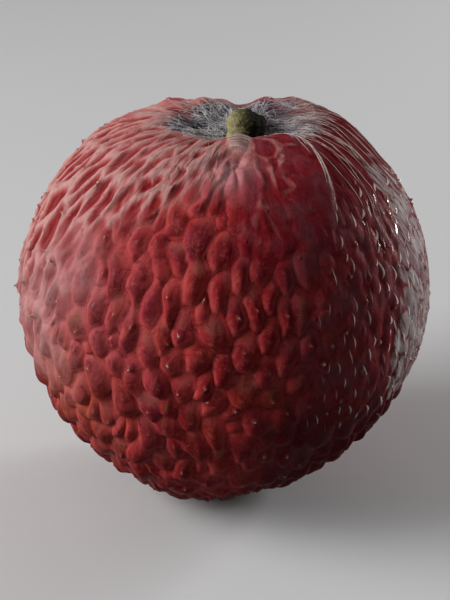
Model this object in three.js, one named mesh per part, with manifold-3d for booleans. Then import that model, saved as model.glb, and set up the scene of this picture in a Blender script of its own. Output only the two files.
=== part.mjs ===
// A lychee: a round fruit in a rough rind of raised tubercles, sunken at the stem end, with the stub
// of its stem left in it. Millimetres, +Z up. The origin is the middle of the flat it rests on.
import * as THREE from 'three';
import { ConvexHull } from 'three/addons/math/ConvexHull.js';
import { mergeVertices } from 'three/addons/utils/BufferGeometryUtils.js';
import Module from 'manifold-3d';

const wasm = await Module();
wasm.setup();

// Driving dimensions of the fruit. Angles "from the stem" are polar angles about its stem axis.
const BODY_RADIUS = 18.75; // mean radius of the rind, halfway up its tubercles
const DEPTH_SHARE = 0.97; // front-to-back width over side-to-side width
const STEM_TILT = degrees(7.5); // lean of the stem axis towards +X
const REST_CUT = 0.45; // how far the resting flat is pressed into the base
const FLAT_OFFSET = 1.18; // how far that flat lies to the -X side of the fruit's centre

// The stem end is sunken: an oval pit between two shoulders, with a shallow furrow running from it
// to the front and another to the back. The right shoulder swells most towards the back. The flanks
// narrow towards the opposite end, which is a blunt tip. Heights are shares of the radius.
const PIT_DEPTH = 0.165;
const PIT_ACROSS = degrees(18);
const PIT_ALONG = degrees(11);
const PIT_FROM_STEM = degrees(5);
const PIT_AZIMUTH = degrees(-101);
const FRONT_FURROW = 0.06;
const BACK_FURROW = 0.095;
const BACK_FURROW_AZIMUTH = degrees(97);
const FURROW_NARROWNESS = 8;
const FURROW_FROM_STEM = degrees(28);
const FURROW_WIDTH = degrees(14);
const RIGHT_SHOULDER = 0.022;
const RIGHT_SHOULDER_WIDTH = degrees(43);
const LEFT_SHOULDER = -0.033;
const LEFT_SHOULDER_WIDTH = degrees(17);
const SHOULDERS_FROM_STEM = degrees(20);
const BACK_SHOULDER = 0.036;
const BACK_SHOULDER_AZIMUTH = degrees(36);
const BACK_SHOULDER_NARROWNESS = 4;
const BACK_SHOULDER_FROM_STEM = degrees(26);
const BACK_SHOULDER_WIDTH = degrees(14);
const RIGHT_FLANK = -0.045;
const LEFT_FLANK = -0.028;
const FLANKS_FROM_STEM = degrees(138);
const FLANKS_WIDTH = degrees(36);
const TIP_BULGE = 0.048;
const TIP_WIDTH = degrees(35);

// Broad swellings and dips where the fruit grew unevenly: two lumps behind the pit on the left, one
// behind it on the right, a dip in the back shoulder, and four places on the flanks. Each is
// [angle from the stem in degrees, azimuth in degrees, height, width].
const SWELLINGS = [
  [16, 149, 0.4, 1.1],
  [20.5, 150, -0.2, 0.9],
  [25, 152, 0.5, 1.2],
  [11, 62, 0.4, 1.5],
  [16, 33, -0.8, 2.2],
  [62, 11, 0.3, 4.5],
  [76, 172, -0.35, 4],
  [115, -17, -0.35, 5],
  [148, -51, -0.5, 3.5],
];

// Tubercles: each is a low pyramid whose foot is a valley shared with its neighbours. They are longer
// than they are wide, and most so near the stem, because a length counts as this share of itself
// when neighbours are found: the share halfway down the fruit, and how fast it grows from there.
const TUBERCLES = 1000;
const LENGTHWISE_SHARE = 0.62;
const LENGTHWISE_CHANGE = 0.04;
const TUBERCLE_HEIGHT = 0.34; // top above the mean rind
const HEIGHT_SPREAD = 0.25; // share by which that height varies either way
const VALLEY_DEPTH = 0.24; // valley below the mean rind
const TUBERCLE_SCATTER = 0.42; // wander of a top from its even place, as a share of the spacing
const SMALLER_AT_STEM = 0.35; // how much smaller tubercles get towards the stem
const SMALLER_AT_TIP = 0.22; // and towards the tip
const BARE_FROM_STEM = degrees(13); // no relief closer to the stem than this
const FULL_FROM_STEM = degrees(27); // full relief further out than this
const GOLDEN_ANGLE = Math.PI * (3 - Math.sqrt(5));

// The stub of stem, standing in a round socket in the floor of the pit.
const STUB_RADIUS = 1.65;
const STUB_HEIGHT = 2.95;
const STUB_SIDES = 28;
const SOCKET_DEPTH = 0.6;
const SOCKET_CLEARANCE = 0.3; // between the stub and the socket, at its foot and its side

function degrees(angle) {
  return (angle * Math.PI) / 180;
}

function smoothstep(low, high, x) {
  const t = Math.min(1, Math.max(0, (x - low) / (high - low)));
  return t * t * (3 - 2 * t);
}

function bell(x, width) {
  return Math.exp(-((x / width) ** 2));
}

// A repeatable number from -1 to 1 for each index, with a salt for each use.
function scatter(index, salt) {
  const x = Math.sin(index * 127.1 + salt * 311.7) * 43758.5453;
  return 2 * (x - Math.floor(x)) - 1;
}

// The unit vector at a polar angle from the stem, +Z, and an azimuth about it from +X.
function direction(polar, azimuth) {
  const across = Math.sin(polar);
  return new THREE.Vector3(across * Math.cos(azimuth), across * Math.sin(azimuth), Math.cos(polar));
}

// Distance from the middle of the pit, as a share of the pit's size.
function fromPit(polar, azimuth) {
  const x = polar * Math.cos(azimuth) - PIT_FROM_STEM * Math.cos(PIT_AZIMUTH);
  const y = polar * Math.sin(azimuth) - PIT_FROM_STEM * Math.sin(PIT_AZIMUTH);
  return Math.hypot(x / PIT_ACROSS, y / PIT_ALONG);
}

// Height of the swellings over the even rind.
function swellingHeight(polar, azimuth) {
  const here = direction(polar, azimuth);
  let total = 0;
  for (const [fromStem, around, height, width] of SWELLINGS) {
    const away = BODY_RADIUS * here.distanceTo(direction(degrees(fromStem), degrees(around)));
    total += height * bell(away, width);
  }
  return total;
}

// Distance from the fruit's centre to its mean rind.
function rindRadius(polar, azimuth) {
  const right = ((1 + Math.cos(azimuth)) / 2) ** 2;
  const left = ((1 - Math.cos(azimuth)) / 2) ** 2;
  const front = Math.max(0, -Math.sin(azimuth)) ** FURROW_NARROWNESS;
  const back = Math.max(0, Math.cos(azimuth - BACK_FURROW_AZIMUTH)) ** FURROW_NARROWNESS;
  const furrow = FRONT_FURROW * front + BACK_FURROW * back;
  const backRight = Math.max(0, Math.cos(azimuth - BACK_SHOULDER_AZIMUTH)) ** BACK_SHOULDER_NARROWNESS;
  const share =
    1 -
    PIT_DEPTH * bell(fromPit(polar, azimuth), 1) -
    furrow * bell(polar - FURROW_FROM_STEM, FURROW_WIDTH) +
    RIGHT_SHOULDER * right * bell(polar - SHOULDERS_FROM_STEM, RIGHT_SHOULDER_WIDTH) +
    LEFT_SHOULDER * left * bell(polar - SHOULDERS_FROM_STEM, LEFT_SHOULDER_WIDTH) +
    BACK_SHOULDER * backRight * bell(polar - BACK_SHOULDER_FROM_STEM, BACK_SHOULDER_WIDTH) +
    (RIGHT_FLANK * right + LEFT_FLANK * left) * bell(polar - FLANKS_FROM_STEM, FLANKS_WIDTH) +
    TIP_BULGE * bell(Math.PI - polar, TIP_WIDTH);
  return BODY_RADIUS * share + swellingHeight(polar, azimuth);
}

// The point at that height above the mean rind. Height fades out around the stem.
function rindPoint(polar, azimuth, height) {
  const relief = height * smoothstep(BARE_FROM_STEM, FULL_FROM_STEM, polar);
  const point = direction(polar, azimuth).multiplyScalar(rindRadius(polar, azimuth) + relief);
  point.y *= DEPTH_SHARE;
  return point;
}

// Size of the tubercles at a polar angle, compared with those halfway down the fruit.
function tubercleSize(polar) {
  const nearStem = 1 - smoothstep(degrees(15), degrees(60), polar);
  const nearTip = smoothstep(degrees(120), degrees(175), polar);
  return 1 - SMALLER_AT_STEM * nearStem - SMALLER_AT_TIP * nearTip;
}

// Tops of the tubercles as [polar, azimuth], on a spiral from the stem to the tip. Each band of the
// spiral holds as many as fit there at their size, and each top then wanders from its even place.
function tubercleTops() {
  const bands = 4000;
  const bandWidth = Math.PI / bands;
  const room = Array.from({ length: bands }, (_, band) => {
    const polar = (band + 0.5) * bandWidth;
    return Math.sin(polar) / tubercleSize(polar) ** 2;
  });
  const wholeRoom = room.reduce((sum, share) => sum + share);
  const spacing = Math.sqrt((4 * Math.PI) / TUBERCLES);
  const longer = 1 / Math.sqrt(LENGTHWISE_SHARE);
  const tops = [];
  let filled = 0;
  for (let band = 0; band < bands; band++) {
    const polar = (band + 0.5) * bandWidth;
    filled += (room[band] / wholeRoom) * TUBERCLES;
    while (tops.length + 0.5 <= filled) {
      const wander = TUBERCLE_SCATTER * spacing * tubercleSize(polar);
      const along = scatter(tops.length, 1) * wander * longer;
      const across = (scatter(tops.length, 2) * wander) / longer;
      const moved = Math.max(0.01, Math.min(Math.PI - 0.01, polar + along));
      const turned = tops.length * GOLDEN_ANGLE + across / Math.sin(moved);
      tops.push([moved, turned]);
    }
  }
  return tops;
}

// The triangles between neighbouring tops. The tops are squeezed towards the middle of the fruit
// first, so that the neighbours found make tubercles longer than they are wide.
function neighbourFaces(tops) {
  const squeezed = tops.map(([polar, azimuth], index) => {
    const run = Math.log(Math.tan(polar / 2));
    const squeezedRun = run * (LENGTHWISE_SHARE + LENGTHWISE_CHANGE * run);
    return Object.assign(direction(2 * Math.atan(Math.exp(squeezedRun)), azimuth), { index });
  });
  return new ConvexHull().setFromPoints(squeezed).faces;
}

// The whole rind as one closed mesh: a fan of triangles for each tubercle, from its top to the
// valley points at the middles of the triangles around it.
function rindGeometry() {
  const tops = tubercleTops();
  const points = tops.map(([polar, azimuth], index) =>
    rindPoint(polar, azimuth, TUBERCLE_HEIGHT * (1 + HEIGHT_SPREAD * scatter(index, 3))),
  );
  const faces = neighbourFaces(tops);
  const valleyOf = new Map();
  for (const face of faces) {
    const middle = new THREE.Vector3();
    for (let corner = 0; corner < 3; corner++) {
      middle.add(direction(...tops[face.getEdge(corner).head().point.index]));
    }
    const polar = middle.angleTo(new THREE.Vector3(0, 0, 1));
    valleyOf.set(face, points.length);
    points.push(rindPoint(polar, Math.atan2(middle.y, middle.x), -VALLEY_DEPTH));
  }
  const triangles = [];
  for (const face of faces) {
    for (let corner = 0; corner < 3; corner++) {
      const edge = face.getEdge(corner);
      triangles.push(edge.tail().point.index, valleyOf.get(edge.twin.face), valleyOf.get(face));
    }
  }
  return new THREE.BufferGeometry().setFromPoints(points).setIndex(triangles);
}

// A closed geometry, moved by a matrix, as a solid that can be cut.
function solidOf(geometry, matrix = new THREE.Matrix4()) {
  const bare = geometry.clone().deleteAttribute('normal').deleteAttribute('uv');
  const merged = mergeVertices(bare.applyMatrix4(matrix));
  const vertProperties = merged.getAttribute('position').array;
  const triVerts = new Uint32Array(merged.index.array);
  return new wasm.Manifold(new wasm.Mesh({ numProp: 3, vertProperties, triVerts }));
}

function geometryOf(solid) {
  const { vertProperties, triVerts } = solid.getMesh();
  const geometry = new THREE.BufferGeometry();
  geometry.setAttribute('position', new THREE.BufferAttribute(vertProperties, 3));
  return geometry.setIndex(new THREE.BufferAttribute(triVerts, 1));
}

// The fruit: the rind, cut flat where it rests and bored for the stub.
function makeFruit(floorToFruit, socketFloor) {
  const block = 3 * BODY_RADIUS;
  const floor = new THREE.BoxGeometry(block, block, block).translate(0, 0, -block / 2);
  const socketRadius = STUB_RADIUS + SOCKET_CLEARANCE;
  const socket = new THREE.CylinderGeometry(socketRadius, socketRadius, BODY_RADIUS, STUB_SIDES);
  socket.rotateX(Math.PI / 2).translate(socketFloor.x, socketFloor.y, socketFloor.z + BODY_RADIUS / 2);
  const solid = solidOf(rindGeometry()).subtract(solidOf(floor, floorToFruit)).subtract(solidOf(socket));
  const rind = new THREE.MeshStandardMaterial({ color: '#a83f45', roughness: 0.42, metalness: 0 });
  const fruit = new THREE.Mesh(geometryOf(solid), rind);
  fruit.name = 'fruit';
  return fruit;
}

// The stub of stem: a knobbly peg that widens towards a rounded top.
function makeStub(socketFloor) {
  const profile = [
    [0, 0],
    [0.9, 0],
    [0.96, 0.1],
    [0.9, 0.35],
    [0.98, 0.6],
    [1.06, 0.78],
    [0.92, 0.93],
    [0.58, 0.99],
    [0, 1],
  ].map(([radius, height]) => new THREE.Vector2(radius * STUB_RADIUS, height * STUB_HEIGHT));
  const geometry = new THREE.LatheGeometry(profile, STUB_SIDES).rotateX(Math.PI / 2);
  const points = geometry.getAttribute('position');
  for (let i = 0; i < points.count; i++) {
    const around = Math.atan2(points.getY(i), points.getX(i));
    const up = smoothstep(0.1, 1, points.getZ(i) / STUB_HEIGHT);
    const knob = 1 + up * (0.05 * Math.cos(3 * around + 1) + 0.03 * Math.cos(5 * around));
    points.setXY(i, points.getX(i) * knob, points.getY(i) * knob);
  }
  const bark = new THREE.MeshStandardMaterial({ color: '#5d5a33', roughness: 0.85, metalness: 0 });
  const stub = new THREE.Mesh(geometry, bark);
  stub.name = 'stem_stub';
  stub.position.copy(socketFloor);
  stub.position.z += SOCKET_CLEARANCE;
  return stub;
}

const lychee = new THREE.Group();
lychee.rotation.y = STEM_TILT;
lychee.position.set(FLAT_OFFSET, 0, rindRadius(Math.PI, 0) - REST_CUT);
lychee.updateMatrixWorld();
const socketFloor = rindPoint(PIT_FROM_STEM, PIT_AZIMUTH, 0);
socketFloor.z -= SOCKET_DEPTH;
lychee.add(makeFruit(lychee.matrixWorld.clone().invert(), socketFloor), makeStub(socketFloor));

export default lychee;
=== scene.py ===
"""A lychee: the rind, the stub of stem and the silky fibres round it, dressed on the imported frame.

Metres, +Z up. The shape functions work in the fruit's own frame, whose origin is the fruit's
centre and whose +Z is the stem axis. "polar" is the angle from the stem and "azimuth" the angle
about that axis from +X, so the side that faces the camera is azimuth -90 degrees.
"""

import functools
import itertools
import math
from math import pi, radians, tau

import bmesh
import bpy
import numpy as np
from mathutils import Matrix, Vector
from mathutils.bvhtree import BVHTree


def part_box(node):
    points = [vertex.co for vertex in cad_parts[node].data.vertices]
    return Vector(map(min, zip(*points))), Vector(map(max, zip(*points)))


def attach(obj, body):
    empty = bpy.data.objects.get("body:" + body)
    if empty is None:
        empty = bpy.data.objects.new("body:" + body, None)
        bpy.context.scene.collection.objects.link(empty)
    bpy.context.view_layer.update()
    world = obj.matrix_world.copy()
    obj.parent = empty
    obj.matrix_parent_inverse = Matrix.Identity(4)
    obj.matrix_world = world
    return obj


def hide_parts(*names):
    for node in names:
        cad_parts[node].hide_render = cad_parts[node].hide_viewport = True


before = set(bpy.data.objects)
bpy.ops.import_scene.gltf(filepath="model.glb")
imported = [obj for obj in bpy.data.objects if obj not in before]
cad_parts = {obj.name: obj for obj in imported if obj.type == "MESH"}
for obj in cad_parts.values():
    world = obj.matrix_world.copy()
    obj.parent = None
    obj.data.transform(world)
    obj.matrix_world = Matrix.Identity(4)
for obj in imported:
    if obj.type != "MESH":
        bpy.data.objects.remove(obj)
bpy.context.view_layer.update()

SCENE = bpy.context.scene
FRUIT_LOW, FRUIT_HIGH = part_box("fruit")
STUB_LOW, STUB_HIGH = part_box("stem_stub")
MM = 0.001

# The same proportions as the solid fruit.
BODY_RADIUS = 0.49303 * (FRUIT_HIGH.x - FRUIT_LOW.x)
DEPTH_SHARE = 0.97
STEM_TILT = radians(7.5)
REST_CUT = 0.45 * MM
FLAT_OFFSET = 1.18 * MM
PIT_DEPTH = 0.165
PIT_ACROSS = radians(18)
PIT_ALONG = radians(11)
PIT_FROM_STEM = radians(5)
PIT_AZIMUTH = radians(-101)
# Broad forms: height as a share of the radius, the azimuth that each faces, how even it is all
# round the stem and to which power it narrows there, polar angle and width. Angles in degrees.
FORMS = (
    (-0.06, -90, 0, 8, 28, 14),  # furrow in front of the pit
    (-0.095, 97, 0, 8, 28, 14),  # furrow behind it
    (0.022, 0, 0.5, 2, 20, 43),  # right shoulder
    (-0.033, 180, 0.5, 2, 20, 17),  # left shoulder
    (0.036, 36, 0, 4, 26, 14),  # back shoulder
    (-0.045, 0, 0.5, 2, 138, 36),  # right flank
    (-0.028, 180, 0.5, 2, 138, 36),  # left flank
    (0.048, 0, 1, 1, 180, 35),  # tip
)
# Broad swellings and dips: angle from the stem and azimuth in degrees, height and width in mm.
SWELLINGS = (
    (16, 149, 0.4, 1.1),
    (20.5, 150, -0.2, 0.9),
    (25, 152, 0.5, 1.2),
    (11, 62, 0.4, 1.5),
    (16, 33, -0.8, 2.2),
    (62, 11, 0.3, 4.5),
    (76, 172, -0.35, 4),
    (115, -17, -0.35, 5),
    (148, -51, -0.5, 3.5),
)
TUBERCLES = 1000
LENGTHWISE_SHARE = 0.62
LENGTHWISE_CHANGE = 0.04
TUBERCLE_HEIGHT = 0.34 * MM
HEIGHT_SPREAD = 0.25
VALLEY_DEPTH = 0.24 * MM
TUBERCLE_SCATTER = 0.42
SMALLER_AT_STEM = 0.35
SMALLER_AT_TIP = 0.22
BARE_FROM_STEM = radians(13)
FULL_FROM_STEM = radians(27)
GOLDEN_ANGLE = pi * (3 - math.sqrt(5))

# How finely each tubercle is meshed: the rings from its top, 0, to its valley, 1.
RINGS = np.array([0, 0.13, 0.34, 0.6, 0.83, 1])
CORNER_ROUNDING = 0.2 * MM
MERGED_BORDER = 0.8 * MM
FULL_INSIDE = 1.0 * MM
SMOOTHING = 0.6
LIP_HEIGHT = 0.8 * MM


def bell(x, width):
    return np.exp(-((x / width) ** 2))


def smoothstep(low, high, x):
    t = np.clip((x - low) / (high - low), 0, 1)
    return t * t * (3 - 2 * t)


def grade(low, high, angle):
    """0 up to one angle and 1 from another, both in degrees."""
    return smoothstep(radians(low), radians(high), angle)


def mix(a, b, share):
    return a + (b - a) * share


def scatter(index, salt):
    """A repeatable number from -1 to 1 for each index, with a salt for each use."""
    x = np.sin(index * 127.1 + salt * 311.7) * 43758.5453
    return 2 * (x - np.floor(x)) - 1


def noise(points, wavelength, seed):
    """Smooth noise from -1 to 1 at each point."""
    place = points / wavelength + 31.7 * seed
    cell = np.floor(place).astype(np.int64)
    part = place - cell
    part = part * part * part * (part * (part * 6 - 15) + 10)
    total = np.zeros(len(points))
    for corner in itertools.product((0, 1), repeat=3):
        x, y, z = (cell + corner).T
        mixed = (x * 73856093) ^ (y * 19349663) ^ (z * 83492791) ^ (seed * 26544357)
        mixed = ((mixed ^ (mixed >> 13)) * 1274126177) & 0x7FFFFFFF
        mixed = ((mixed ^ (mixed >> 15)) * 1103515245) & 0x7FFFFFFF
        weight = np.prod(np.where(corner, part, 1 - part), axis=1)
        total += weight * (mixed / 0x3FFFFFFF - 1)
    return total


def unit(vectors):
    return vectors / np.linalg.norm(vectors, axis=-1, keepdims=True)


# ---- the fruit's shape


def direction(polar, azimuth):
    polar, azimuth = np.broadcast_arrays(polar, azimuth)
    across = np.sin(polar)
    return np.stack([across * np.cos(azimuth), across * np.sin(azimuth), np.cos(polar)], -1)


def at_degrees(polar, azimuth):
    return direction(radians(polar), radians(azimuth))


def angles(directions):
    """Polar angle and azimuth of each direction."""
    x, y, z = directions[..., 0], directions[..., 1], directions[..., 2]
    return np.arctan2(np.hypot(x, y), z), np.arctan2(y, x)


def from_pit(polar, azimuth):
    """Distance from the middle of the pit, as a share of the pit's size."""
    x = polar * np.cos(azimuth) - PIT_FROM_STEM * math.cos(PIT_AZIMUTH)
    y = polar * np.sin(azimuth) - PIT_FROM_STEM * math.sin(PIT_AZIMUTH)
    return np.hypot(x / PIT_ACROSS, y / PIT_ALONG)


def rind_radius(polar, azimuth):
    """Distance from the fruit's centre to its mean rind."""
    share = 1 - PIT_DEPTH * bell(from_pit(polar, azimuth), 1)
    for height, faced, evenness, power, from_stem, width in FORMS:
        facing = mix(np.cos(azimuth - radians(faced)), 1, evenness)
        along = bell(polar - radians(from_stem), radians(width))
        share += height * np.maximum(0, facing) ** power * along
    here = direction(polar, azimuth)
    swelling = 0
    for from_stem, around, height, width in SWELLINGS:
        away = np.linalg.norm(here - at_degrees(from_stem, around), axis=-1) * BODY_RADIUS
        swelling += height * MM * bell(away, width * MM)
    return BODY_RADIUS * share + swelling


CENTRE = Vector((FLAT_OFFSET, 0, float(rind_radius(pi, 0)) - REST_CUT))
TO_ROW = Matrix.Translation(CENTRE) @ Matrix.Rotation(STEM_TILT, 4, "Y")


def to_row(points):
    """Points in the fruit's own frame, moved to the row's frame."""
    turn = np.array(TO_ROW)
    return points @ turn[:3, :3].T + turn[:3, 3]


def tubercle_size(polar):
    near_stem, near_tip = 1 - grade(15, 60, polar), grade(120, 175, polar)
    return 1 - SMALLER_AT_STEM * near_stem - SMALLER_AT_TIP * near_tip


def tubercle_tops():
    """Tops of the tubercles as polar angles and azimuths, where the solid has them."""
    bands = 4000
    polar = (np.arange(bands) + 0.5) * pi / bands
    room = np.sin(polar) / tubercle_size(polar) ** 2
    filled = np.cumsum(room) / room.sum() * TUBERCLES
    index = np.arange(TUBERCLES)
    polar = polar[np.minimum(np.searchsorted(filled, index + 0.5), bands - 1)]
    wander = TUBERCLE_SCATTER * math.sqrt(4 * pi / TUBERCLES) * tubercle_size(polar)
    longer = 1 / math.sqrt(LENGTHWISE_SHARE)
    polar = np.clip(polar + scatter(index, 1) * wander * longer, 0.01, pi - 0.01)
    turned = index * GOLDEN_ANGLE + scatter(index, 2) * wander / longer / np.sin(polar)
    return polar, turned


def neighbour_faces(polar, azimuth):
    """Triangles between neighbouring tops, each as three tops in order round its outward side."""
    run = np.log(np.tan(polar / 2))
    run *= LENGTHWISE_SHARE + LENGTHWISE_CHANGE * run
    squeezed = direction(2 * np.arctan(np.exp(run)), azimuth)
    hull = bmesh.new()
    for point in squeezed:
        hull.verts.new(point)
    hull.verts.index_update()
    bmesh.ops.convex_hull(hull, input=hull.verts)
    faces = np.array([[corner.index for corner in face.verts] for face in hull.faces])
    hull.free()
    a, b, c = (squeezed[faces[:, corner]] for corner in range(3))
    inward = np.sum(np.cross(b - a, c - a) * a, axis=1) < 0
    faces[inward] = faces[inward][:, ::-1]
    return faces


class RindGrid:
    """The rind as a fan of fine triangles for each tubercle, before it has any height.

    For each vertex: direction, across (0 at the top of its tubercle, 1 at its valley), tubercle,
    lengthwise (1 where its nearest border runs away from the stem) and inside (its distance from
    the tubercle's borders).
    """

    def __init__(self):
        self.polar, self.azimuth = tubercle_tops()
        faces = neighbour_faces(self.polar, self.azimuth)
        self.tops = tops = direction(self.polar, self.azimuth)
        valleys = unit(tops[faces].sum(axis=1))
        face_of = {
            (int(face[corner]), int(face[(corner + 1) % 3])): index
            for index, face in enumerate(faces)
            for corner in range(3)
        }
        fans = np.array([[a, b, face_of[b, a], index] for (a, b), index in face_of.items()])
        steps = [(ring, step) for ring in range(len(RINGS)) for step in range(ring + 1)]
        across = RINGS[[ring for ring, _ in steps]]
        along = np.array([step / max(ring, 1) for ring, step in steps])
        top, before, after = tops[fans[:, 0]], valleys[fans[:, 2]], valleys[fans[:, 3]]
        edge = before[:, None] * (1 - along)[:, None] + after[:, None] * along[:, None]
        points = top[:, None] * (1 - across)[:, None] + edge * across[:, None]
        points = points.reshape(-1, 3)
        _, first, place = np.unique(
            np.round(points, 6) + 0.0, axis=0, return_index=True, return_inverse=True
        )
        place = place.ravel()
        fan = first // len(steps)
        self.direction = unit(points[first])
        self.across = across[first % len(steps)]
        self.tubercle = fans[fan, 0]
        run = angles(after)[0] - angles(before)[0]
        lengthwise = smoothstep(0.3, 0.85, np.abs(run) / np.linalg.norm(after - before, axis=1))
        self.lengthwise = lengthwise[fan]
        pair = np.sort(fans[:, :2], axis=1) @ (1009, 1)
        low = np.clip(0.35 * (1 - lengthwise) + 0.9 * scatter(pair, 4) - 0.25, 0, 0.65)
        wall = unit(np.cross(before, after))
        wall *= np.sign(np.sum(wall * top, axis=1, keepdims=True))
        self.inside = self.from_borders(fans[:, 0], wall, MERGED_BORDER * low)
        number = {step: index for index, step in enumerate(steps)}
        small = []
        for ring, step in steps[: -len(RINGS)]:
            here = number[ring, step]
            left, right = number[ring + 1, step], number[ring + 1, step + 1]
            small.append((here, left, right))
            if step < ring:
                small.append((here, right, number[ring, step + 1]))
        offsets = np.arange(len(fans))[:, None, None] * len(steps)
        self.triangles = place[(np.array(small)[None] + offsets).reshape(-1, 3)]

    def from_borders(self, owners, border, lift):
        """Each point's distance from the borders of its tubercle, which may be lifted off it."""
        order = np.argsort(owners, kind="stable")
        owner = owners[order]
        sides = np.bincount(owner)
        slot = np.arange(len(owner)) - (np.cumsum(sides) - sides)[owner]
        borders = np.zeros((TUBERCLES, sides.max(), 3))
        lifts = np.ones((TUBERCLES, sides.max()))
        borders[owner, slot] = border[order]
        lifts[owner, slot] = lift[order]
        away = np.einsum("nkd,nd->nk", borders[self.tubercle], self.direction) * BODY_RADIUS
        away += lifts[self.tubercle]
        return -CORNER_ROUNDING * np.log(np.sum(np.exp(-away / CORNER_ROUNDING), axis=1))

    def smoothed(self, values, kept, rounds):
        """Values averaged with their neighbours' that many times, where they aren't kept."""
        pairs = np.concatenate([self.triangles[:, ends] for ends in ([0, 1], [1, 2], [2, 0])])
        count = np.bincount(pairs[:, 0], minlength=len(values))
        for _ in range(rounds):
            around = np.bincount(pairs[:, 0], values[pairs[:, 1]], len(values)) / count
            values = np.where(kept, values, mix(values, around, SMOOTHING))
        return values


def turned(azimuth, middle):
    """Azimuth counted from middle, from -pi to pi."""
    return (azimuth - middle + pi) % tau - pi


def stretch(azimuth, middle, half_width, fade):
    """1 within half_width of a middle azimuth, fading to 0 over the next fade, all in degrees."""
    return 1 - grade(half_width, half_width + fade, np.abs(turned(azimuth, radians(middle))))


def between(polar, low, high, fade):
    """1 between two polar angles, fading to 0 over the fade outside them, all in degrees."""
    return grade(low - fade, low, polar) * (1 - grade(high, high + fade, polar))


def patch(polar, azimuth, middle, half_width, fade, low, high, end_fade):
    """1 over a stretch of azimuth between two polar angles, all in degrees."""
    return stretch(azimuth, middle, half_width, fade) * between(polar, low, high, end_fade)


def ray_noise(polar, azimuth, round_turns, lengths, seed):
    """Noise in streaks that run away from the stem: cells per radian round it, and along."""
    x, y = np.cos(azimuth) * round_turns, np.sin(azimuth) * round_turns
    return noise(np.stack([x, y, polar * lengths], 1), 1.0, seed)


def streak_cells(polar, azimuth, round_count, lengths, seed):
    """Distances to the nearest and the next of points strewn in rows away from the stem."""
    place = np.stack([azimuth / tau * round_count, polar * lengths], 1)
    nearest, second = np.full(len(place), 9.0), np.full(len(place), 9.0)
    for step in itertools.product((-1, 0, 1), repeat=2):
        cell = np.floor(place) + step
        number = cell[:, 0] % round_count + 1009 * cell[:, 1]
        stray = np.stack([scatter(number, seed), scatter(number, seed + 1)], 1)
        away = np.linalg.norm(place - cell - 0.5 - 0.42 * stray, axis=1)
        second = np.minimum(second, np.maximum(nearest, away))
        nearest = np.minimum(nearest, away)
    return nearest, second


def folds(polar, azimuth, twist, round_count, lengths, seed, low, high):
    """Folds that run away from the stem between streak cells: 1 on their crests."""
    nearest, second = streak_cells(polar, azimuth + twist * polar, round_count, lengths, seed)
    return 1 - smoothstep(low, high, second - nearest)


# Folds: twist, how many go round, how many a radian along, seed, and where their sides end.
FINE_FOLDS = (0.25, 66, 6.4, 21, 0.0, 0.62)
BROAD_FOLDS = (0.5, 42, 4.6, 41, 0.05, 0.6)
LONG_FOLDS = (0.1, 68, 3.9, 51, 0.0, 0.5)
# Pebbles over the right side: how many go round, how many a radian along, and seed.
PEBBLES = (98, 10.5, 31)

# Patches of rind: middle azimuth, half-width and fade, then the polar angles between which the
# patch lies and the fade at those ends, all in degrees. The borders of the second lot wander.
PATCHES = {
    "glossy": (-8, 50, 28, 40, 180, 12),
    "glints": (-27, 30, 14, 47, 97, 14),
    "back_rim": (95, 72, 20, 10, 19, 6),
}
WANDERING_PATCHES = {
    "left_limb": (-174, 22, 26, 50, 92, 26),
    "shade": (-44, 22, 24, 104, 140, 16),
    "plain": (-66, 20, 10, 19, 50, 16),
}
TALL_PIMPLES = (180, 30, 20, 44, 108, 12)
NET_AZIMUTH = radians(-195)


def neck_middle(polar):
    """Azimuth of the middle of the pale neck in front of the stub."""
    return radians(-101) + 0.6 * (polar - radians(16))


def crest_azimuth(polar):
    """Azimuth of the crest where the smooth patch drops to the threads."""
    return radians(-42) - 0.5 * (polar - radians(18))


def off_neck(polar, azimuth):
    """Distance over the rind from the middle of the neck."""
    return np.abs(turned(azimuth, neck_middle(polar))) * np.sin(polar) * BODY_RADIUS


def pit_share(x, y):
    """0 in the middle of the grey pit and 1 at its edge, with x and y as angles from the stem."""
    x, y = x + radians(1), y + radians(3)
    on_left = 1 - grade(-8, 0, x)
    long_way = mix(radians(20.5), radians(23.5), on_left)
    short_way = mix(radians(12), radians(12.4), on_left * (y > 0))
    return np.hypot(x / long_way, y / short_way)


def rind_zones(polar, azimuth, place):
    """Where each look of the rind holds, from 0 to 1."""
    blotch, rough = noise(place, 5 * MM, 1), noise(place, 1.3 * MM, 9)
    ashen = pit_share(polar * np.cos(azimuth), polar * np.sin(azimuth))
    strayed = azimuth + blotch * radians(7)
    # The net ends further down in its middle than at its sides.
    back = np.abs(turned(strayed, NET_AZIMUTH))
    net_end = np.clip(radians(46) + 0.78 * (radians(78) - back), radians(42), radians(84))
    past_net = smoothstep(net_end - radians(10), net_end + radians(8), polar)
    sheen_shift = radians(18) * (1 - grade(44, 66, polar))
    past_crest = grade(-1.5, 2.5, turned(azimuth, crest_azimuth(polar)))
    neck_width = mix(0.8 * MM, 1.4 * MM, grade(22, 31, polar))
    off_middle = off_neck(polar, azimuth) + 0.3 * MM * rough
    zones = {name: patch(polar, azimuth, *where) for name, where in PATCHES.items()}
    for name, where in WANDERING_PATCHES.items():
        zones[name] = patch(polar, strayed, *where)
    zones["plain"] *= 1 - past_crest
    zones["pit"] = 1 - smoothstep(0.86, 1.08, ashen + 0.1 * blotch + 0.08 * rough)
    zones["net"] = (1 - grade(76, 100, back)) * grade(16, 22, polar) * (1 - past_net)
    zones["threads"] = past_crest * (1 - grade(34, 62, azimuth)) * between(polar, 15, 36, 16)
    # The right limb, where a pale sheen is painted.
    zones["silver"] = grade(-43, -33, strayed - sheen_shift) * (1 - grade(-14, 16, strayed))
    zones["silver"] *= between(polar, 42, 94, 13)
    zones["neck"] = 1 - smoothstep(0.7 * neck_width, 1.5 * neck_width, off_middle)
    zones["neck"] *= between(polar, 13, 20, 5)
    return zones


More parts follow.
